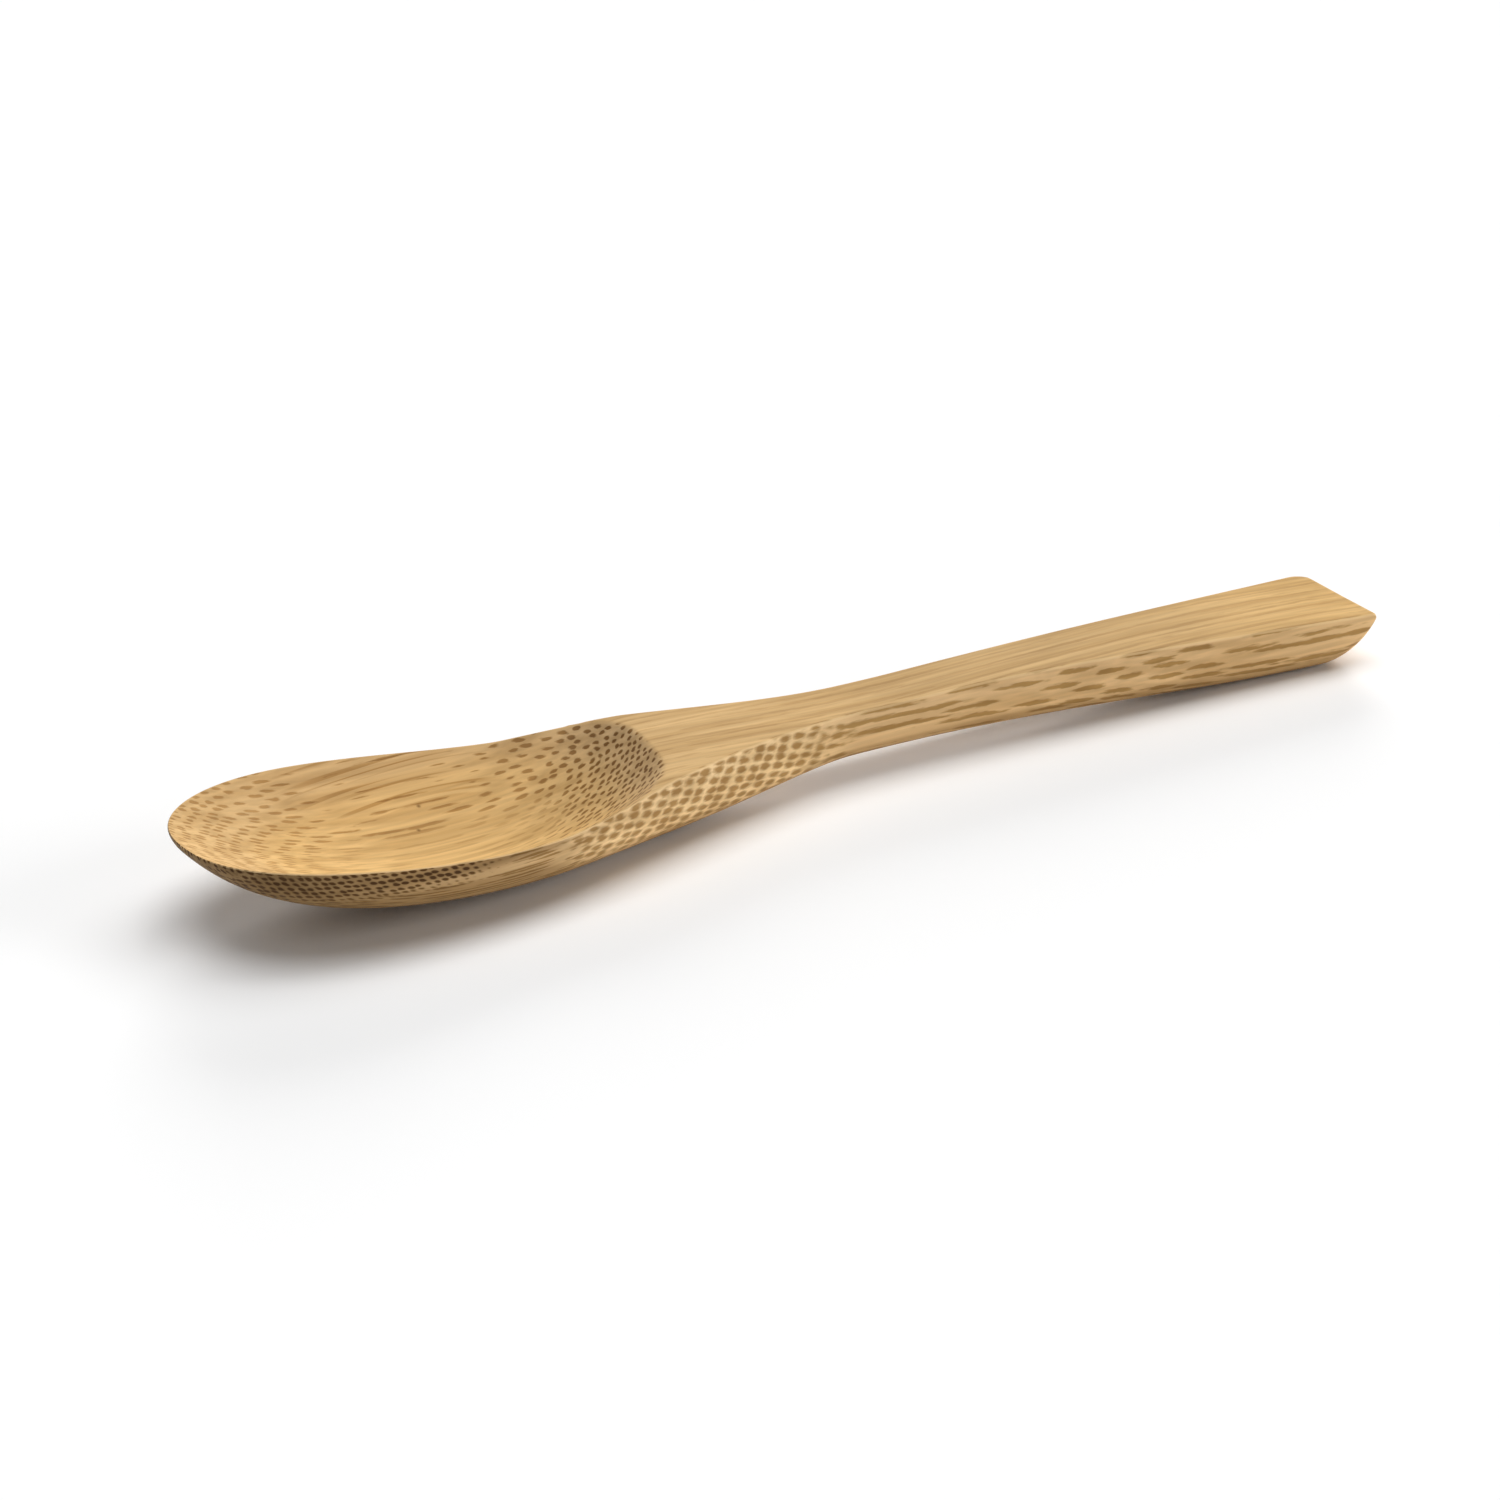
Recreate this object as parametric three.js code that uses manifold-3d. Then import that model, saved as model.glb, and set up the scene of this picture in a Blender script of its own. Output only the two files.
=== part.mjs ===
// A small serving spoon carved from one solid strip of bamboo: bowl, neck and handle are one piece.
// Millimetres, +Z up. X runs from the bowl's tip to the handle's end, and the grain runs with it.
// The origin is on the table, under the middle of the length. Places along the spoon are given
// as distances from the tip.

import * as THREE from 'three';
import { mergeVertices } from 'three/addons/utils/BufferGeometryUtils.js';
import Module from 'manifold-3d';

// Outline seen from above
const overallLength = 150;
const bowlWidth = 29.2;
const bowlWidestAt = 24.6;
const bowlFrontPower = 2.35; // 2 is an ellipse, more is blunter
const tipFlat = 1.6; // the blunt width left at the very tip
const neckWidth = 7.7;
const neckAt = 83;
const handleEndWidth = 14.1;
const handleFlare = 0.064; // how fast each side still spreads at the end
const farCornerRadius = 2.4; // the end's corner on the +Y side is sanded rounder
const nearCornerRadius = 0.2;

// Hollow of the bowl
const hollowLength = 56.5; // from the tip to the middle of the rear edge
const hollowRear = 6.1; // length of the U-shaped rear edge that crosses the neck's flat top
const hollowRearPower = 3.4;
const rearSkew = 0.2; // how far the rear edge and the shoulders lean back towards +Y, per mm across
const hollowFloor = 2.9; // height of the lowest point above the table
const deepestAhead = 24; // how far the lowest point lies ahead of the rear edge
const frontWallPower = 2.0; // 2 is a dish, more is a flatter floor with a steeper wall
const sideWallPower = 2.2;
const rearWallPower = 2.4;

// Top line seen from the side: rim, then the flat top of neck and handle
const tipHeight = 11.4;
const rimLow = 8.35;
const rimLowAhead = 8.9; // ahead of the place where the rim turns into the rear edge
const crestHeight = 9.6;
const crestBehind = 0.4; // behind the hollow's rear edge
const saddleHeight = 8.8;
const saddleAt = 91;
const endHeight = 6.3;
const endSlope = -0.053;

// Underside seen from the side
const tipEdge = 0.6; // thickness of the rim's edge at the tip
const tipUndercut = -1.2; // slope of the underside as it leaves the tip
const restAhead = 7.2; // how far the bowl's resting place lies ahead of the rear edge
const archHeight = 2.85; // clear height under the neck
const archAt = 81;
const endRound = 5.9; // radius of the quarter round under the handle's end
const restDepth = 0.15; // sanded off the two places that rest on the table

// Cross sections: 2 is an ellipse, more is squarer
const bowlSectionPower = 2.2;
const handleSectionPower = 3.5;

// Mesh fineness
const frontSteps = 11;
const sideSpacing = 4.4;
const endSteps = 7;
const arcSteps = 24;
const rearEdgeSteps = 16;

const shoulderAt = hollowLength - hollowRear; // on the centre line
const deepestAt = hollowLength - deepestAhead;

// Profiles along the length. Each place holds its slope (level if none is given) over the
// shares `before` and `after` of the runs that meet there. A value is found by halving the run.
const halvings = 40;

function profile(places) {
  const runs = places.slice(1).map((to, i) => {
    const from = places[i];
    const span = to.at - from.at;
    const lead = from.after * span;
    const trail = to.before * span;
    return new THREE.CubicBezierCurve(
      new THREE.Vector2(from.at, from.value),
      new THREE.Vector2(from.at + lead, from.value + lead * (from.slope ?? 0)),
      new THREE.Vector2(to.at - trail, to.value - trail * (to.slope ?? 0)),
      new THREE.Vector2(to.at, to.value),
    );
  });
  return (at) => {
    const run = runs.find((curve) => at <= curve.v3.x) ?? runs.at(-1);
    let low = 0;
    let high = 1;
    for (let halving = 0; halving < halvings; halving += 1) {
      const middle = (low + high) / 2;
      if (run.getPoint(middle).x < at) low = middle;
      else high = middle;
    }
    return run.getPoint((low + high) / 2).y;
  };
}

const sideOfBowlAndHandle = profile([
  { at: bowlWidestAt, value: bowlWidth / 2, after: 0.41 },
  { at: neckAt, value: neckWidth / 2, before: 0.33, after: 0.29 },
  { at: overallLength, value: handleEndWidth / 2, before: 0.7, slope: handleFlare },
]);

function halfWidth(at) {
  if (at >= bowlWidestAt) return sideOfBowlAndHandle(at);
  const inward = (bowlWidestAt - at) / bowlWidestAt;
  const front = (bowlWidth / 2) * (1 - inward ** bowlFrontPower) ** (1 / bowlFrontPower);
  return Math.max(front, tipFlat / 2);
}

// How far a quarter round of this radius, which ends the spoon's length, has drawn in at a place
function drawnIn(at, radius) {
  const past = Math.max(at - (overallLength - radius), 0);
  return radius - Math.sqrt(Math.max(radius ** 2 - past ** 2, 0));
}

const topLine = profile([
  { at: 0, value: tipHeight, after: 0.39 },
  { at: shoulderAt - rimLowAhead, value: rimLow, before: 0.3, after: 0.14 },
  { at: hollowLength + crestBehind, value: crestHeight, before: 0.2, after: 0.38 },
  { at: saddleAt, value: saddleHeight, before: 0.38, after: 0.32 },
  { at: overallLength, value: endHeight, before: 0.34, slope: endSlope },
]);

function topHeight(at, y) {
  return topLine(at - rearSkew * y);
}

const undersideRun = profile([
  { at: 0, value: tipHeight - tipEdge, after: 0.17, slope: tipUndercut },
  { at: hollowLength - restAhead, value: -restDepth, before: 0.41, after: 0.41 },
  { at: archAt, value: archHeight, before: 0.19, after: 0.38 },
  { at: overallLength - endRound, value: -restDepth, before: 0.24 },
]);

function undersideHeight(at) {
  return undersideRun(Math.min(at, overallLength - endRound)) + drawnIn(at, endRound);
}

// The shoulders are where the rim turns into the hollow's rear edge, one on each side.
const shoulderHalfWidth = halfWidth(shoulderAt);
const nearShoulderAt = shoulderAt - rearSkew * shoulderHalfWidth;
const farShoulderAt = shoulderAt + rearSkew * shoulderHalfWidth;

// The outside, before hollowing: rings of points round the section, one for each station.
// Over the bowl the blank stands proud of the rim, and the hollow takes that off.
const proudHeight = 2;
const proudFade = 6;
const topShares = [1, 1 / 3, -1 / 3, -1];

function proudOfRim(at, y) {
  const ahead = shoulderAt + rearSkew * y - at;
  return proudHeight * THREE.MathUtils.clamp(ahead / proudFade, 0, 1);
}

function outsideRing(at) {
  const near = halfWidth(at) - drawnIn(at, nearCornerRadius);
  const far = halfWidth(at) - drawnIn(at, farCornerRadius);
  const under = undersideHeight(at);
  const squarer = THREE.MathUtils.smoothstep(at, shoulderAt, neckAt);
  const power = 2 / THREE.MathUtils.lerp(bowlSectionPower, handleSectionPower, squarer);
  const x = at - overallLength / 2;
  const ring = [];
  for (let step = 0; step <= arcSteps; step += 1) {
    const turn = (Math.PI * step) / arcSteps;
    const across = Math.abs(Math.cos(turn)) ** power;
    const down = Math.abs(Math.sin(turn)) ** power;
    const y = step < arcSteps / 2 ? -near * across : far * across;
    ring.push(new THREE.Vector3(x, y, THREE.MathUtils.lerp(topHeight(at, y), under, down)));
  }
  for (const share of topShares) {
    const y = share * (share > 0 ? far : near);
    ring.push(new THREE.Vector3(x, y, topHeight(at, y) + proudOfRim(at, y)));
  }
  return ring;
}

function spaced(from, to) {
  const steps = Math.ceil((to - from) / sideSpacing);
  return Array.from({ length: steps }, (_, step) => THREE.MathUtils.lerp(from, to, step / steps));
}

// Stations close up round the tip and round the handle's end, and one lies on each shoulder.
function outsideStations() {
  const stations = [];
  for (let step = 0; step < frontSteps; step += 1) {
    const turn = (Math.PI / 2) * (step / frontSteps);
    stations.push(bowlWidestAt * (1 - Math.cos(turn) ** (2 / bowlFrontPower)));
  }
  const roundAt = overallLength - endRound;
  stations.push(...spaced(bowlWidestAt, nearShoulderAt));
  stations.push(...spaced(nearShoulderAt, farShoulderAt));
  stations.push(...spaced(farShoulderAt, roundAt));
  for (let step = 0; step <= endSteps; step += 1) {
    stations.push(roundAt + endRound * Math.sin((Math.PI / 2) * (step / endSteps)));
  }
  return stations;
}

// The hollow's cutter: rings that grow from the lowest point to the edge and a little past it,
// and then a lid well above the spoon. The edge follows the outline round the front, and at the
// rear it crosses the neck's flat top in a U.
const ringShares = [0.08, 0.24, 0.4, 0.55, 0.68, 0.8, 0.9, 0.97, 1.06, 1.14];
const lidClearance = 6;
const lidHeight = Math.max(tipHeight, crestHeight) + proudHeight + lidClearance;

function hollowEdge(stations) {
  const near = [...stations.filter((at) => at < nearShoulderAt), nearShoulderAt];
  const far = [...stations.filter((at) => at < farShoulderAt), farShoulderAt];
  const rear = [];
  for (let step = 1; step < rearEdgeSteps; step += 1) {
    const share = 1 - (2 * step) / rearEdgeSteps;
    const skewedAt = shoulderAt + rearSkew * share * shoulderHalfWidth;
    const back = hollowRear * (1 - Math.abs(share) ** hollowRearPower);
    rear.push(new THREE.Vector2(skewedAt + back, share * halfWidth(skewedAt)));
  }
  return [
    ...near.toReversed().map((at) => new THREE.Vector2(at, -halfWidth(at))),
    ...far.map((at) => new THREE.Vector2(at, halfWidth(at))),
    ...rear,
  ];
}

function hollowRings(stations) {
  const middle = new THREE.Vector2(deepestAt, 0);
  const edge = hollowEdge(stations).toReversed();
  const place = (point, share, z) => {
    const flat = middle.clone().lerp(point, share);
    return new THREE.Vector3(flat.x - overallLength / 2, flat.y, z);
  };
  const rings = ringShares.map((share) => edge.map((point) => {
    const lengthwise = (point.x - middle.x) / point.distanceTo(middle);
    const endPower = lengthwise < 0 ? frontWallPower : rearWallPower;
    const power = THREE.MathUtils.lerp(sideWallPower, endPower, lengthwise ** 2);
    const rise = (topHeight(point.x, point.y) - hollowFloor) * share ** power;
    return place(point, share, hollowFloor + rise);
  }));
  rings.push(edge.map((point) => place(point, ringShares.at(-1), lidHeight)));
  return rings;
}

// Joins rings into a closed skin, with a fan over each end.
function skin(rings) {
  const corners = [];
  const middleOf = (ring) => ring
    .reduce((sum, point) => sum.add(point), new THREE.Vector3())
    .divideScalar(ring.length);
  const first = rings[0];
  const last = rings.at(-1);
  const firstMiddle = middleOf(first);
  const lastMiddle = middleOf(last);
  first.forEach((point, i) => {
    const next = (i + 1) % first.length;
    corners.push(firstMiddle, first[next], point);
    corners.push(lastMiddle, last[i], last[next]);
    for (let ring = 1; ring < rings.length; ring += 1) {
      const behind = rings[ring - 1];
      const ahead = rings[ring];
      corners.push(behind[i], behind[next], ahead[next]);
      corners.push(behind[i], ahead[next], ahead[i]);
    }
  });
  return new THREE.BufferGeometry().setFromPoints(corners);
}

const wasm = await Module();
wasm.setup();

// A closed geometry as a solid: its corners are merged, and triangles that have no area
// because two of their corners are one point are left out.
function solid(geometry) {
  geometry.deleteAttribute('normal');
  geometry.deleteAttribute('uv');
  const merged = mergeVertices(geometry);
  const corners = merged.index.array;
  const triangles = [];
  for (let i = 0; i < corners.length; i += 3) {
    const triangle = corners.slice(i, i + 3);
    if (new Set(triangle).size === 3) triangles.push(...triangle);
  }
  return new wasm.Manifold(new wasm.Mesh({
    numProp: 3,
    vertProperties: merged.attributes.position.array,
    triVerts: new Uint32Array(triangles),
  }));
}

// What the sander takes off under the spoon, down to the table's level
function belowTable() {
  const thickness = 2 * restDepth;
  const slab = new THREE.BoxGeometry(overallLength, bowlWidth, thickness);
  return solid(slab.translate(0, 0, -thickness / 2));
}

function spoonGeometry() {
  const stations = outsideStations();
  const blank = solid(skin(stations.map(outsideRing)));
  const hollow = solid(skin(hollowRings(stations)));
  const { vertProperties, triVerts } = blank.subtract(hollow).subtract(belowTable()).getMesh();
  const geometry = new THREE.BufferGeometry();
  geometry.setAttribute('position', new THREE.BufferAttribute(vertProperties, 3));
  geometry.setIndex(new THREE.BufferAttribute(triVerts, 1));
  geometry.computeVertexNormals();
  return geometry;
}

const bamboo = new THREE.MeshStandardMaterial({ color: 0xc9a672, roughness: 0.55, metalness: 0 });
const spoon = new THREE.Mesh(spoonGeometry(), bamboo);
spoon.name = 'spoon_body';

const servingSpoon = new THREE.Group();
servingSpoon.add(spoon);

export default servingSpoon;
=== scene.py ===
import math

import bmesh
import bpy
import numpy as np
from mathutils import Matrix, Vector
from mathutils.geometry import interpolate_bezier


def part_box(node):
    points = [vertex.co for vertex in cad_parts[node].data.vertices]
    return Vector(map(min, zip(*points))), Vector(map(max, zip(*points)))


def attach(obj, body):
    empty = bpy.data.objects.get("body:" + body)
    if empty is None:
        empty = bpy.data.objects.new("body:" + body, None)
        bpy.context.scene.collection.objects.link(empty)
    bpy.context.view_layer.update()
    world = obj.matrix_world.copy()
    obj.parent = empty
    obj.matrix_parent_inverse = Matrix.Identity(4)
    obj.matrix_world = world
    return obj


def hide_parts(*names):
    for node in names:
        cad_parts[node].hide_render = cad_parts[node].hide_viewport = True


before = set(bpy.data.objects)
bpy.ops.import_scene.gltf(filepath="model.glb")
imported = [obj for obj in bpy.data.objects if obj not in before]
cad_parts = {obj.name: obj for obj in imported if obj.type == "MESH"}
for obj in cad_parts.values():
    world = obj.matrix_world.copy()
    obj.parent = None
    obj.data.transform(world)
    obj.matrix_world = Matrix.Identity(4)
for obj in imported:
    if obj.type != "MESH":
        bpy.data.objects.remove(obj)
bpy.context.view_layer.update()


# Spoon body.
# One solid strip of bamboo, carved and sanded: a bowl with a hollow, a slim arched neck and a
# flat-topped handle that widens to a square end. It is one piece, so nothing is joined or fixed.
mm = 0.001
low_corner, high_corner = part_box("spoon_body")
overall_length = high_corner.x - low_corner.x
bowl_width = high_corner.y - low_corner.y

# The outline from above. Places along the spoon are distances from the tip.
bowl_widest_at = 24.6 * mm
bowl_front_power = 2.35
tip_flat = 1.6 * mm
neck_width = 7.7 * mm
neck_at = 83 * mm
handle_end_width = 14.1 * mm
handle_flare = 0.064
far_corner_radius = 2.4 * mm
near_corner_radius = 0.2 * mm

# The hollow. Its rear edge crosses the neck's flat top in a U that leans back on the far side.
hollow_length = 56.5 * mm
hollow_rear = 6.1 * mm
hollow_rear_power = 3.4
rear_skew = 0.2
hollow_floor = 2.9 * mm
deepest_at = hollow_length - 24 * mm
front_wall_power = 2.0
side_wall_power = 2.2
rear_wall_power = 2.4
shoulder_at = hollow_length - hollow_rear

# The top line and the underside, from the side
tip_height = 11.4 * mm
rim_low = 8.35 * mm
rim_low_at = shoulder_at - 8.9 * mm
crest_height = 9.6 * mm
crest_at = hollow_length + 0.4 * mm
saddle_height = 8.8 * mm
saddle_at = 91 * mm
end_height = 6.3 * mm
end_slope = -0.053
tip_edge = 0.6 * mm
tip_undercut = -1.2
bowl_rest_at = hollow_length - 7.2 * mm
arch_height = 2.85 * mm
arch_at = 81 * mm
end_round = 5.9 * mm
end_round_at = overall_length - end_round
rest_depth = 0.15 * mm
bowl_section_power = 2.2
handle_section_power = 3.5
points_between_places = 300


def profile(*places):
    """A smooth line through places along the spoon, as a function of the distance from the tip.

    Each place is (distance, value, slope, share of the run before it, share of the run after it)
    that the line holds that slope.
    """
    line = []
    for here, there in zip(places, places[1:]):
        start, value, slope, _, after = here
        end, next_value, next_slope, before, _ = there
        lead = after * (end - start)
        trail = before * (end - start)
        line += interpolate_bezier(
            Vector((start, value, 0)),
            Vector((start + lead, value + lead * slope, 0)),
            Vector((end - trail, next_value - trail * next_slope, 0)),
            Vector((end, next_value, 0)),
            points_between_places,
        )
    distances = [point.x for point in line]
    values = [point.y for point in line]
    return lambda at: np.interp(at, distances, values)


bowl_and_handle_side = profile(
    (bowl_widest_at, bowl_width / 2, 0, 0, 0.41),
    (neck_at, neck_width / 2, 0, 0.33, 0.29),
    (overall_length, handle_end_width / 2, handle_flare, 0.7, 0),
)
top_line = profile(
    (0, tip_height, 0, 0, 0.39),
    (rim_low_at, rim_low, 0, 0.3, 0.14),
    (crest_at, crest_height, 0, 0.2, 0.38),
    (saddle_at, saddle_height, 0, 0.38, 0.32),
    (overall_length, end_height, end_slope, 0.34, 0),
)
underside_line = profile(
    (0, tip_height - tip_edge, tip_undercut, 0, 0.17),
    (bowl_rest_at, -rest_depth, 0, 0.41, 0.41),
    (arch_at, arch_height, 0, 0.19, 0.38),
    (end_round_at, -rest_depth, 0, 0.24, 0),
)


def half_width(at):
    inward = np.clip((bowl_widest_at - at) / bowl_widest_at, 0, 1)
    front = bowl_width / 2 * (1 - inward**bowl_front_power) ** (1 / bowl_front_power)
    side = np.where(at < bowl_widest_at, front, bowl_and_handle_side(at))
    return np.maximum(side, tip_flat / 2)


def top_height(at, y):
    return top_line(at - rear_skew * y)


def drawn_in(at, radius):
    """How far a quarter round at the handle's end has drawn in at this place."""
    past = np.clip(at - (overall_length - radius), 0, radius)
    return radius - np.sqrt(radius**2 - past**2)


def underside_height(at):
    return underside_line(at) + drawn_in(at, end_round)


def front_places(count, endpoint=True):
    """Places from the tip to the bowl's widest, closest together at the tip."""
    turn = np.linspace(0, math.pi / 2, count, endpoint=endpoint)
    return bowl_widest_at * (1 - np.cos(turn) ** (2 / bowl_front_power))


# The hollow's edge seen from its deepest point: how far off it is in each direction, and how high
rear_edge_points = 400
side_edge_points = 200
edge_share = np.linspace(-1, 1, rear_edge_points)
rear_line = shoulder_at + rear_skew * edge_share * half_width(shoulder_at)
rear_at = rear_line + hollow_rear * (1 - np.abs(edge_share) ** hollow_rear_power)
rear_y = edge_share * half_width(rear_line)
front_at = front_places(side_edge_points)
far_at = np.concatenate([front_at, np.linspace(bowl_widest_at, rear_line[-1], side_edge_points)])
near_at = np.concatenate([front_at, np.linspace(bowl_widest_at, rear_line[0], side_edge_points)])
edge_at = np.concatenate([rear_at, far_at[::-1], near_at])
edge_y = np.concatenate([rear_y, half_width(far_at[::-1]), -half_width(near_at)])
edge_angle = np.arctan2(edge_y, edge_at - deepest_at)
round_order = np.argsort(edge_angle)
edge_angle = edge_angle[round_order]
edge_reach = np.hypot(edge_y, edge_at - deepest_at)[round_order]
edge_height = top_height(edge_at, edge_y)[round_order]


def hollow_height(at, y):
    angle = np.arctan2(y, at - deepest_at)
    lengthwise = np.cos(angle)
    end_power = np.where(lengthwise < 0, front_wall_power, rear_wall_power)
    power = side_wall_power + (end_power - side_wall_power) * lengthwise**2
    reach = np.interp(angle, edge_angle, edge_reach, period=2 * math.pi)
    height = np.interp(angle, edge_angle, edge_height, period=2 * math.pi)
    share = np.hypot(y, at - deepest_at) / reach
    return hollow_floor + (height - hollow_floor) * share**power


# Sanding has rounded the edge where the flat top meets the hollow, and the one at the handle's end.
# Ahead of the hollow's rear edge the flat top is raised out of the way, so the hollow shows there.
rear_edge_round = 0.3 * mm
end_edge_round = 0.5 * mm
raised_height = 2 * mm
raised_within = 6 * mm


def top_surface(at, y):
    ahead = np.clip((shoulder_at + rear_skew * y - at) / raised_within, 0, 1)
    flat = top_height(at, y) + raised_height * ahead - drawn_in(at, end_edge_round)
    hollow = hollow_height(at, y)
    blend = np.clip(0.5 + 0.5 * (flat - hollow) / rear_edge_round, 0, 1)
    return flat + (hollow - flat) * blend - rear_edge_round * blend * (1 - blend)


# Sanding has also drawn in the rim and the handle's long edges by a little, up to this far from them.
sanded_reach = 0.45 * mm
sanded_depth = sanded_reach / 4


def sanded(loop, corner):
    """Rounds one corner of a section by drawing in the points close to it."""
    offsets = loop - loop[corner]
    distance = np.hypot(offsets[:, 0], offsets[:, 1])
    beyond = np.roll(distance >= sanded_reach, -corner)
    ahead = (corner + np.argmax(beyond)) % len(loop)
    behind = (corner - 1 - np.argmax(beyond[::-1])) % len(loop)
    inward = offsets[ahead] / distance[ahead] + offsets[behind] / distance[behind]
    closeness = np.clip(1 - distance / sanded_reach, 0, 1)
    return loop + sanded_depth * closeness[:, None] ** 2 * inward


# A section is a loop of points: the outside from the near edge round the bottom to the far edge, and
# then the top back to the near edge. Both runs have their points closer together towards the edges.
outside_steps = 90
top_steps = 100
outside_points = 2001


def closer_at_ends(steps):
    return (1 - np.cos(np.linspace(0, math.pi, steps + 1))) / 2


def section(at):
    near = half_width(at) - drawn_in(at, near_corner_radius)
    far = half_width(at) - drawn_in(at, far_corner_radius)
    squarer = np.clip((at - shoulder_at) / (neck_at - shoulder_at), 0, 1)
    squarer = squarer**2 * (3 - 2 * squarer)
    power = 2 / (bowl_section_power + (handle_section_power - bowl_section_power) * squarer)
    turn = np.linspace(0, math.pi, outside_points)
    across = np.abs(np.cos(turn)) ** power
    y = np.where(turn < math.pi / 2, -near, far) * across
    top = top_height(at, y) - drawn_in(at, end_edge_round)
    z = np.maximum(top + (underside_height(at) - top) * np.sin(turn) ** power, 0)
    run = np.concatenate([[0], np.cumsum(np.hypot(np.diff(y), np.diff(z)))])
    stops = closer_at_ends(outside_steps) * run[-1]
    outside_y = np.interp(stops, run, y)
    outside_z = np.interp(stops, run, z)
    top_y = far + (-near - far) * closer_at_ends(top_steps)
    top_z = top_surface(at, top_y)
    loop_y = np.concatenate([outside_y[:-1], top_y[:-1]])
    loop_z = np.concatenate([outside_z[:-1], top_z[:-1]])
    loop = sanded(sanded(np.stack([loop_y, loop_z], axis=1), 0), outside_steps)
    return np.concatenate([loop, loop[:1]])


# The sections lie closest together at the tip, at the hollow's rear edge and at the handle's end.
front_sections = 90
bowl_sections = 60
rear_edge_sections = 90
handle_sections = 160
end_sections = 36
rear_edge_from = 45 * mm
rear_edge_to = 60 * mm
stations = np.concatenate([
    front_places(front_sections, endpoint=False),
    np.linspace(bowl_widest_at, rear_edge_from, bowl_sections, endpoint=False),
    np.linspace(rear_edge_from, rear_edge_to, rear_edge_sections, endpoint=False),
    np.linspace(rear_edge_to, end_round_at, handle_sections, endpoint=False),
    end_round_at + end_round * np.sin(np.linspace(0, math.pi / 2, end_sections)),
])
sections = [section(at) for at in stations]

# The skin starts as a flat grid, and each of its columns becomes one section.
length_steps = len(stations) - 1
round_steps = outside_steps + top_steps
grid_half = 0.5
same_point = 0.0001 * mm
spoon_mesh = bmesh.new()
bmesh.ops.create_grid(spoon_mesh, x_segments=length_steps, y_segments=round_steps, size=grid_half)
for vert in spoon_mesh.verts:
    column = round((vert.co.x + grid_half) * length_steps)
    row = round((vert.co.y + grid_half) * round_steps)
    y, z = sections[column][row]
    vert.co = (stations[column] - overall_length / 2, y, z)
bmesh.ops.remove_doubles(spoon_mesh, verts=spoon_mesh.verts, dist=same_point)
open_ends = [edge for edge in spoon_mesh.edges if edge.is_boundary]
bmesh.ops.holes_fill(spoon_mesh, edges=open_ends, sides=0)
bmesh.ops.recalc_face_normals(spoon_mesh, faces=spoon_mesh.faces)
for face in spoon_mesh.faces:
    face.smooth = True
body_data = bpy.data.meshes.new("bamboo_spoon")
spoon_mesh.to_mesh(body_data)
spoon_mesh.free()
spoon = bpy.data.objects.new("bamboo_spoon", body_data)
bpy.context.scene.collection.objects.link(spoon)


def linear(hex_colour):
    """An sRGB hex colour as a linear one, for a shader socket."""
    channels = [int(hex_colour[i : i + 2], 16) / 255 for i in (0, 2, 4)]
    return [c / 12.92 if c <= 0.04045 else ((c + 0.055) / 1.055) ** 2.4 for c in channels] + [1]


def add(tree, kind, inputs, **settings):
    """Adds a node with its settings. Each input is a value, or a socket or a node to link to it.

    A node is linked by the first of its outputs that is in use.
    """
    made = tree.nodes.new(kind)
    for name, value in settings.items():
        setattr(made, name, value)
    for socket, value in inputs.items():
        if isinstance(value, bpy.types.Node):
            value = next(output for output in value.outputs if output.enabled)
        if isinstance(value, bpy.types.NodeSocket):
            tree.links.new(value, made.inputs[socket])
        else:
            made.inputs[socket].default_value = value
    return made


# Solid bamboo, carved and sanded with no varnish. Brown fibre bundles run along the spoon through a
# pale ground, so a cut across them shows dots, a slanting cut dashes and a cut along them streaks.
# They lie about a millimetre apart. Sizes and places here are in millimetres, in the part's frame.
bamboo = bpy.data.materials.new("sanded_bamboo")
bamboo.use_nodes = True
tree = bamboo.node_tree
coordinates = add(tree, "ShaderNodeTexCoord", {})
to_mm = {0: coordinates.outputs["Object"], "Scale": 1 / mm}
in_mm = add(tree, "ShaderNodeVectorMath", to_mm, operation="SCALE")
place = add(tree, "ShaderNodeSeparateXYZ", {0: in_mm})
facing = add(tree, "ShaderNodeSeparateXYZ", {0: coordinates.outputs["Normal"]})

# The way of the grain. From the tip to the handle's end it dips a little, behind the bowl's front it
# sways gently from side to side, and each bundle has a small wander of its own.
along_grain = Vector((1, 0, -0.04))
sway_length = 100
sway_centre = -15
sway_from = -40
sway_reach = 1.35
wander_length = 30
wander_width = 6
wander_reach = 0.8
sway_rate = 2 * math.pi / sway_length
swaying = add(tree, "ShaderNodeMath", {0: place.outputs["X"], 1: sway_from}, operation="MAXIMUM")
sway_turn = {0: swaying, 1: sway_rate, 2: -sway_rate * sway_centre}
sway_angle = add(tree, "ShaderNodeMath", sway_turn, operation="MULTIPLY_ADD")
sway = add(tree, "ShaderNodeMath", {0: sway_angle}, operation="SINE")
sway_across = add(tree, "ShaderNodeCombineXYZ", {"Y": sway})
sway_shift = {0: sway_across, 1: (0, sway_reach, 0), 2: in_mm}
swayed = add(tree, "ShaderNodeVectorMath", sway_shift, operation="MULTIPLY_ADD")
wander_scale = (1 / wander_length, 1 / wander_width, 1 / wander_width)
wander_place = add(tree, "ShaderNodeMapping", {"Vector": in_mm, "Scale": wander_scale})
wander = add(tree, "ShaderNodeTexNoise", {"Vector": wander_place, "Scale": 1, "Detail": 1})
wander_shift = {0: wander.outputs["Color"], 1: (0, wander_reach, wander_reach), 2: swayed}
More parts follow.
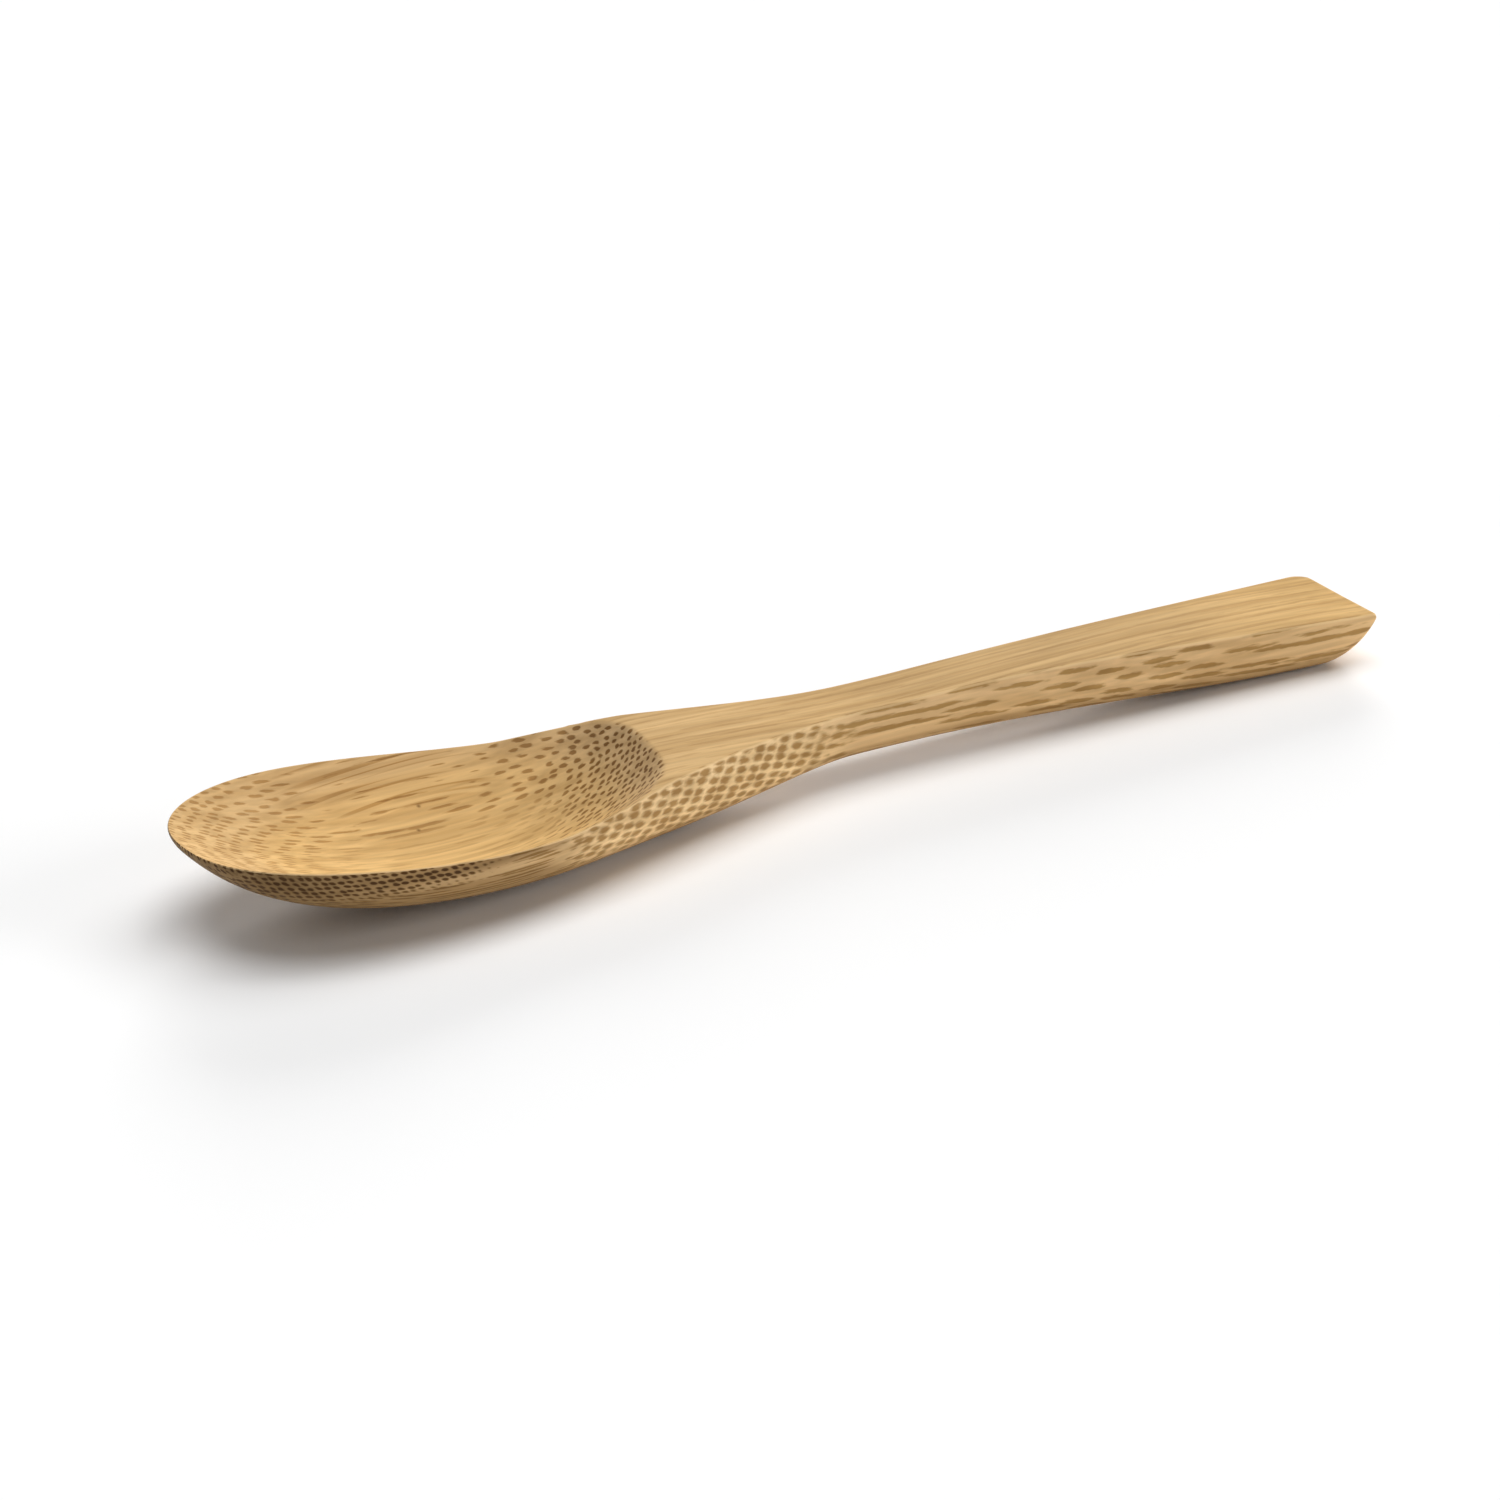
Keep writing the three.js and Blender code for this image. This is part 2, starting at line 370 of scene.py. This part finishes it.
grain = add(tree, "ShaderNodeVectorMath", wander_shift, operation="MULTIPLY_ADD")

# What is known of the surface at a place: where it lies, which way it faces, how much that slants
# along the grain, and how much it faces away from the spoon's middle
slant = add(tree, "ShaderNodeMath", {0: facing.outputs["X"]}, operation="ABSOLUTE")
own_side = add(tree, "ShaderNodeMath", {0: place.outputs["Y"]}, operation="SIGN")
sideways = {0: own_side, 1: facing.outputs["Y"]}
surface = {
    "x": place.outputs["X"],
    "z": place.outputs["Z"],
    "facing x": facing.outputs["X"],
    "facing z": facing.outputs["Z"],
    "slant": slant,
    "facing out": add(tree, "ShaderNodeMath", sideways, operation="MULTIPLY"),
}

# How the surface is cut to the grain, and which stretch of the spoon it is in. Each of these is a
# share that grows smoothly from none at the first limit to all at the second.
for name, measure, none_at, all_at in (
    ("open cut", "facing x", 0.04, 0.25),
    ("handle end cut", "facing x", 0.2, 0.5),
    ("tip end cut", "facing x", -0.05, -0.55),
    ("side cut", "facing z", 0.85, 0.3),
    ("flat cut", "facing z", 0.93, 0.995),
    ("steep cut", "facing z", 0.93, 0.85),
    ("under cut", "facing z", -0.2, -0.55),
    ("outside", "facing z", 0.45, 0.05),
    ("off the bottom", "facing z", -0.85, -0.5),
    ("outer edge", "facing out", 0.25, 0.6),
    ("not a side cut", "side cut", 1, 0),
    ("slight slant", "slant", 0.4, 0.1),
    ("no slant", "slant", 0.2, 0.06),
    ("bowl", "x", -10, -18),
    ("bowl front", "x", -46, -56),
    ("behind bowl front", "x", -66, -54),
    ("bowl before neck", "x", -28, -40),
    # A band just under the bowl's rim, by height and by how far along it runs
    ("band height", "z", 7, 8.2),
    ("band before neck", "x", -34, -42),
    ("rim height", "z", 5.5, 8),
    ("rim from tip", "x", -74, -71.5),
    ("rim before neck", "x", -42, -50),
    ("neck from bowl", "x", -40, -31),
    ("neck before handle", "x", 8, -4),
    ("past bowl", "x", -30, -20),
    ("handle from neck", "x", 0, 20),
    ("handle before end", "x", 68, 48),
    ("handle end", "x", 70, 74),
    ("low in strip", "z", 8.5, 5.5),
):
    limits = {"Value": surface[measure], "From Min": none_at, "From Max": all_at}
    surface[name] = add(tree, "ShaderNodeMapRange", limits, interpolation_type="SMOOTHSTEP")

# Areas of the surface, each where all that is listed for it holds
for name, parts in {
    "neck side": ("neck from bowl", "neck before handle", "side cut", "off the bottom"),
    "rim side": ("rim from tip", "rim before neck", "outside", "rim height"),
    "hollow": ("bowl", "not a side cut"),
    "hollow floor": ("hollow", "slight slant"),
    "hollow side wall": ("hollow", "behind bowl front", "no slant", "steep cut"),
    "bowl side shade": ("outside", "bowl before neck"),
    # The outside just under the bowl's rim, which is drawn darker
    "dark band under rim": ("outside", "band height", "band before neck"),
    "flat top": ("past bowl", "flat cut"),
    "handle top": ("flat top", "handle from neck", "handle before end"),
    "end edge": ("handle end cut", "handle end"),
}.items():
    surface[name] = surface[parts[0]]
    for part in parts[1:]:
        both = {0: surface[name], 1: surface[part]}
        surface[name] = add(tree, "ShaderNodeMath", both, operation="MULTIPLY")

# Tones that some cuts and areas bring. Each runs smoothly from its value where there is none of that
# cut or area to its value where there is nothing else.
tones = {}
for name, share, at_none, at_all in (
    ("faint bundles", "flat cut", 1, 0.35),
    ("closed cut", "open cut", 0.8, 0),
    ("golden", "side cut", 1, 0.3),
    # Painted shade darkens the bowl's outside.
    ("bowl side shade", "bowl side shade", 1, 0.88),
    ("flat top", "flat top", 1, 0.92),
    ("handle top", "handle top", 1, 0.91),
):
    effect = {"Value": surface[share], "To Min": at_none, "To Max": at_all}
    tones[name] = add(tree, "ShaderNodeMapRange", effect, interpolation_type="SMOOTHSTEP")

# Unevenness drawn out along the grain: the bundles' ragged edges, fine fibres too thin to see one by
# one, broad soft bands, and the edges of the strip's layers. Each has a length, a width and a height.
unevenness = {}
for name, length, width, height, detail in (
    ("ragged edges", 2.5, 0.4, 0.4, 2),
    ("fine fibres", 14, 0.45, 0.45, 3),
    ("bands", 40, 1.2, 1.2, 1),
    ("layers", 45, 6, 0.4, 1),
):
    drawn_out = {"Vector": grain, "Scale": (1 / length, 1 / width, 1 / height)}
    noise_place = add(tree, "ShaderNodeMapping", drawn_out)
    noise = {"Vector": noise_place, "Scale": 1, "Detail": detail}
    unevenness[name] = add(tree, "ShaderNodeTexNoise", noise)

# The bundles stand in rows, and two steps lead from one to its neighbours: the next in its row, and
# the next row. The steps differ along the strip. On the neck's sides and under the bowl's rim the
# bundles show as round cells, so there the steps are taken on the surface and the way runs into it.
into_neck_side = Vector((0, 1, 0))
into_rim = Vector((0.45, 0.89, 0))
both_sides = add(tree, "ShaderNodeVectorMath", {0: grain}, operation="ABSOLUTE")
from_bundle = {}
for area, source, way, row_step, next_row_step, scatter in (
    ("handle", grain, along_grain, (0, 0.9, -0.48), (0, 0.48, 0.9), 0.45),
    ("bowl", grain, along_grain, (0, 0.98, 0.38), (0, -0.2, 0.48), 0.45),
    ("bowl front", grain, along_grain, (0, 0.6, 0), (0, 0.35, 0.78), 0.45),
    ("rim side", both_sides, into_rim, (0.84, -0.42, 0), (0.42, -0.21, 0.66), 0.3),
    ("neck side", grain, into_neck_side, (1.85, 0, -0.52), (0.42, 0, 1.03), 0.3),
):
    in_row = Vector(next_row_step).cross(way)
    across_rows = way.cross(Vector(row_step))
    steps_taken = {}
    for axis, heading, step in (("X", in_row, row_step), ("Y", across_rows, next_row_step)):
        heading /= heading.dot(Vector(step))
        counted = {0: source, 1: heading}
        steps_taken[axis] = add(tree, "ShaderNodeVectorMath", counted, operation="DOT_PRODUCT")
    rows = add(tree, "ShaderNodeCombineXYZ", steps_taken)
    spots = {"Vector": rows, "Scale": 1, "Randomness": scatter}
    from_bundle[area] = add(tree, "ShaderNodeTexVoronoi", spots, voronoi_dimensions="2D")
even_distance = from_bundle["handle"]
for area in ("bowl", "bowl front", "rim side", "neck side"):
    change = {"Factor": surface[area], "A": even_distance, "B": from_bundle[area]}
    even_distance = add(tree, "ShaderNodeMix", change)

# How far out each bundle reaches and how soft its edge is, in steps. The neck's cells are wide, the
# bundles in the hollow's floor are slim, and flat cuts show them all faintly.
bundle_reach = 0.38
floor_reach = 0.31
side_wall_reach = 0.17
cell_reach = 0.6
rim_reach = 0.5
bundle_edge = 0.18
cell_edge = 0.4
rim_edge = 0.28
ragged_reach = 0.1
noise_low = 0.25
noise_high = 0.75
slimmer = {"Factor": surface["hollow side wall"], "A": floor_reach, "B": side_wall_reach}
slim_reach = add(tree, "ShaderNodeMix", slimmer)
reach = bundle_reach
for area, own_reach in (("hollow floor", slim_reach), ("neck side", cell_reach), ("rim side", rim_reach)):
    reach = add(tree, "ShaderNodeMix", {"Factor": surface[area], "A": reach, "B": own_reach})
soft_edge = bundle_edge
for area, own_edge in (("neck side", cell_edge), ("rim side", rim_edge)):
    soft_edge = add(tree, "ShaderNodeMix", {"Factor": surface[area], "A": soft_edge, "B": own_edge})
core = add(tree, "ShaderNodeMath", {0: reach, 1: soft_edge}, operation="SUBTRACT")
shift = {
    "Value": unevenness["ragged edges"],
    "From Min": noise_low,
    "From Max": noise_high,
    "To Min": -ragged_reach,
    "To Max": ragged_reach,
}
ragged_shift = add(tree, "ShaderNodeMapRange", shift, interpolation_type="SMOOTHSTEP")
distance = add(tree, "ShaderNodeMath", {0: even_distance, 1: ragged_shift}, operation="ADD")
edge_limits = {"Value": distance, "From Min": reach, "From Max": core}
bundle = add(tree, "ShaderNodeMapRange", edge_limits, interpolation_type="SMOOTHSTEP")
showing = {0: bundle, 1: tones["faint bundles"]}
bundle_shown = add(tree, "ShaderNodeMath", showing, operation="MULTIPLY")

# The ground between the bundles and the fibre in them, each as its cut shows, with painted light and
# shade
flat_ground = "CFAC79"
# Upright cuts get a lighter ground: painted light, standing in for the side light they lack.
side_ground_with_painted_light = "DDB886"
# The neck's sides show the wood's pale cream net, made paler still by painted light.
neck_ground_with_painted_light = "F0CF9C"
# Cuts facing the tip get a darker ground, which is painted shade.
tip_ground_with_painted_shade = "C0A176"
flat_fibre = "A27B46"
# The fibre of upright cuts and of cuts facing the handle's end is painted lighter: painted light.
side_fibre_with_painted_light = "AD8750"
open_fibre_with_painted_light = "AC8550"
dark_fibre = "6C4A1E"
dark_ends = {0: surface["tip end cut"], 1: surface["rim side"]}
surface["dark ends"] = add(tree, "ShaderNodeMath", dark_ends, operation="MAXIMUM")
ground = linear(flat_ground)
for area, colour in (("side cut", side_ground_with_painted_light), ("neck side", neck_ground_with_painted_light), ("tip end cut", tip_ground_with_painted_shade)):
    recoloured = {"Factor": surface[area], "A": ground, "B": linear(colour)}
    ground = add(tree, "ShaderNodeMix", recoloured, data_type="RGBA")
fibre = linear(flat_fibre)
for area, colour in (("side cut", side_fibre_with_painted_light), ("open cut", open_fibre_with_painted_light), ("dark ends", dark_fibre)):
    recoloured = {"Factor": surface[area], "A": fibre, "B": linear(colour)}
    fibre = add(tree, "ShaderNodeMix", recoloured, data_type="RGBA")
bundles_in_ground = {"Factor": bundle_shown, "A": ground, "B": fibre}
skin = add(tree, "ShaderNodeMix", bundles_in_ground, data_type="RGBA")

# Fine fibres and bands along the grain, and dark layer edges on the hollow's steep side walls
fibre_dark = 0.9
fibre_light = 1.07
band_dark = (0.89, 0.85, 0.78, 1)
band_light = (1.1, 1.1, 1.1, 1)
band_low = 0.3
band_high = 0.7
layer_tint = (0.7, 0.61, 0.46, 1)
layer_from = 0.48
layer_to = 0.4
streaked = {
    "Value": unevenness["fine fibres"],
    "From Min": noise_low,
    "From Max": noise_high,
    "To Min": fibre_dark,
    "To Max": fibre_light,
}
fine_tone = add(tree, "ShaderNodeMapRange", streaked, interpolation_type="SMOOTHSTEP")
banded = {"Value": unevenness["bands"], "From Min": band_low, "From Max": band_high}
band = add(tree, "ShaderNodeMapRange", banded, interpolation_type="SMOOTHSTEP")
band_tints = {"Factor": band, "A": band_dark, "B": band_light}
band_tone = add(tree, "ShaderNodeMix", band_tints, data_type="RGBA")
layered = {"Value": unevenness["layers"], "From Min": layer_from, "From Max": layer_to}
layer_edge = add(tree, "ShaderNodeMapRange", layered, interpolation_type="SMOOTHSTEP")
on_wall = {0: surface["hollow side wall"], 1: layer_edge}
dark_layer = add(tree, "ShaderNodeMath", on_wall, operation="MULTIPLY")

# Painted shade darkens the wood where the surface faces down; the outside under the bowl's rim is
# darkest.
# The wood low in the strip is more golden.
shade_and_band_tint = (0.57, 0.53, 0.455, 1)
golden_tint = (1.1, 1.07, 0.94, 1)
shade_darkened_cuts = {0: surface["tip end cut"], 1: tones["closed cut"]}
shade_darkened_cut = add(tree, "ShaderNodeMath", shade_darkened_cuts, operation="MAXIMUM")
# Painted shade: down-facing surfaces of closed cuts and of cuts facing the tip are darkened.
facing_down = {0: shade_darkened_cut, 1: surface["under cut"]}
painted_underside_shade = add(tree, "ShaderNodeMath", facing_down, operation="MULTIPLY")
shade_and_band_places = {0: surface["dark band under rim"], 1: painted_underside_shade}
shade_and_dark_band = add(tree, "ShaderNodeMath", shade_and_band_places, operation="MAXIMUM")
low_wood = {0: surface["low in strip"], 1: tones["golden"]}
golden_wood = add(tree, "ShaderNodeMath", low_wood, operation="MULTIPLY")
for share, tint in (
    (1, band_tone),
    (1, fine_tone),
    # Painted shade underneath, and the darker band under the bowl's rim
    (dark_layer, layer_tint),
    (shade_and_dark_band, shade_and_band_tint),
    # Painted shade on the bowl's outside
    (1, tones["bowl side shade"]),
    (1, tones["flat top"]),
    (1, tones["handle top"]),
    (golden_wood, golden_tint),
):
    tinted = {"Factor": share, "A": skin, "B": tint}
    skin = add(tree, "ShaderNodeMix", tinted, data_type="RGBA", blend_type="MULTIPLY")

# Two small brown flaws in the hollow's floor
flaw_reach = 0.38
flaw_strength = 0.8
for flaw_x, flaw_y in ((-42.3, 8.4), (-44.1, 5.3)):
    flaw_z = hollow_height(flaw_x * mm + overall_length / 2, flaw_y * mm) / mm
    flaw_centre = {0: in_mm, 1: (flaw_x, flaw_y, flaw_z)}
    from_flaw = add(tree, "ShaderNodeVectorMath", flaw_centre, operation="DISTANCE")
    fading = {"Value": from_flaw, "From Min": flaw_reach, "From Max": 0, "To Max": flaw_strength}
    flaw = add(tree, "ShaderNodeMapRange", fading, interpolation_type="SMOOTHSTEP")
    stained = {"Factor": flaw, "A": skin, "B": linear(dark_fibre)}
    skin = add(tree, "ShaderNodeMix", stained, data_type="RGBA")

# Upper edges along the outside and at the handle's end are pale: partly burnished, partly a painted
# highlight.
burnish_and_highlight_colour = "EBCB98"
burnish_highlight_from = 0.15
burnish_highlight_to = 0.45
burnish_highlight_strength = 0.45
worn_and_lit_edges = {0: surface["outer edge"], 1: surface["end edge"]}
worn_and_lit = add(tree, "ShaderNodeMath", worn_and_lit_edges, operation="MAXIMUM")
facing_up = {
    "Value": surface["facing z"],
    "From Min": burnish_highlight_from,
    "From Max": burnish_highlight_to,
    "To Max": burnish_highlight_strength,
}
upper = add(tree, "ShaderNodeMapRange", facing_up, interpolation_type="SMOOTHSTEP")
# Partly a painted highlight, strongest where the rounded edge faces up
burnish_and_highlight = add(tree, "ShaderNodeMath", {0: worn_and_lit, 1: upper}, operation="MULTIPLY")
burnish_and_highlight_mix = {"Factor": burnish_and_highlight, "A": skin, "B": linear(burnish_and_highlight_colour)}
skin = add(tree, "ShaderNodeMix", burnish_and_highlight_mix, data_type="RGBA")

# The bundles are cut a little lower than the ground and shine a little more.
relief_depth = 0.05 * mm
relief_strength = 0.6
ground_roughness = 0.62
fibre_roughness = 0.5
cut_relief = {"Height": bundle_shown, "Strength": relief_strength, "Distance": relief_depth}
relief = add(tree, "ShaderNodeBump", cut_relief, invert=True)
polish = {"Value": bundle_shown, "To Min": ground_roughness, "To Max": fibre_roughness}
roughness = add(tree, "ShaderNodeMapRange", polish, interpolation_type="SMOOTHSTEP")
bsdf = tree.nodes["Principled BSDF"]
tree.links.new(skin.outputs["Result"], bsdf.inputs["Base Color"])
tree.links.new(roughness.outputs["Result"], bsdf.inputs["Roughness"])
tree.links.new(relief.outputs["Normal"], bsdf.inputs["Normal"])
bsdf.inputs["IOR"].default_value = 1.5
bsdf.inputs["Specular IOR Level"].default_value = 0.12
body_data.materials.append(bamboo)
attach(spoon, "root")
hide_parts("spoon_body")


# Floor.
# A plain pale table top, matt and even, which takes the spoon's soft shadow.
floor_half_width = 3000 * mm
table_white = "F8F8F8"
floor_mesh = bmesh.new()
bmesh.ops.create_grid(floor_mesh, x_segments=1, y_segments=1, size=floor_half_width)
floor_data = bpy.data.meshes.new("floor")
floor_mesh.to_mesh(floor_data)
floor_mesh.free()
floor = bpy.data.objects.new("floor", floor_data)
bpy.context.scene.collection.objects.link(floor)
pale = bpy.data.materials.new("pale_table")
pale.use_nodes = True
table_top = pale.node_tree.nodes["Principled BSDF"]
table_top.inputs["Base Color"].default_value = linear(table_white)
table_top.inputs["Roughness"].default_value = 1
table_top.inputs["Specular IOR Level"].default_value = 0
floor_data.materials.append(pale)


# Studio light.
# A broad soft box overhead, one beyond the handle's end, and low ones on the near side and behind, in
# a dim room with a white backdrop. The low ones light the table under the arch of the neck.
dim_room = 0.08
world = bpy.data.worlds.new("studio")
bpy.context.scene.world = world
world.use_nodes = True
room = world.node_tree
rays = add(room, "ShaderNodeLightPath", {})
seen = rays.outputs["Is Camera Ray"]
for ray in ("Is Glossy Ray", "Is Transmission Ray"):
    seen = add(room, "ShaderNodeMath", {0: seen, 1: rays.outputs[ray]}, operation="MAXIMUM")
backdrop = add(room, "ShaderNodeMapRange", {"Value": seen, "To Min": dim_room, "To Max": 1})
room.nodes["Background"].inputs["Color"].default_value = (1, 1, 1, 1)
room.links.new(backdrop.outputs["Result"], room.nodes["Background"].inputs["Strength"])
for name, towards, energy, spread, leaves_glare in (
    ("overhead_box", (0, 0, 1), 1.56, 50, True),
    ("near_side_box", (0.70, -0.64, 0.32), 1.0, 30, True),
    ("handle_end_box", (0.63, 0.14, 0.77), 0.95, 40, True),
    ("back_box", (0.52, 0.81, 0.26), 2.15, 25, False),
):
    light = bpy.data.lights.new(name, "SUN")
    light.energy = energy
    light.angle = math.radians(spread)
    lamp = bpy.data.objects.new(name, light)
    lamp.rotation_euler = Vector(towards).to_track_quat("Z", "Y").to_euler()
    lamp.visible_glossy = leaves_glare
    bpy.context.scene.collection.objects.link(lamp)


# Camera.
# It looks down at the spoon from the bowl's end, from a little to one side.
camera_azimuth = math.radians(-32.61)
camera_elevation = math.radians(23.89)
camera_distance = 700 * mm
aim = Vector((-5.5, 0.05, 5.74)) * mm
away = Vector((
    math.sin(camera_azimuth) * math.cos(camera_elevation),
    -math.cos(camera_azimuth) * math.cos(camera_elevation),
    math.sin(camera_elevation),
))
camera_data = bpy.data.cameras.new("camera")
camera_data.sensor_width = 36
camera_data.lens = 154.3
camera = bpy.data.objects.new("camera", camera_data)
camera.location = aim + away * camera_distance
camera.rotation_euler = away.to_track_quat("Z", "Y").to_euler()
bpy.context.scene.collection.objects.link(camera)
bpy.context.scene.camera = camera
bpy.context.scene.view_settings.view_transform = "Standard"
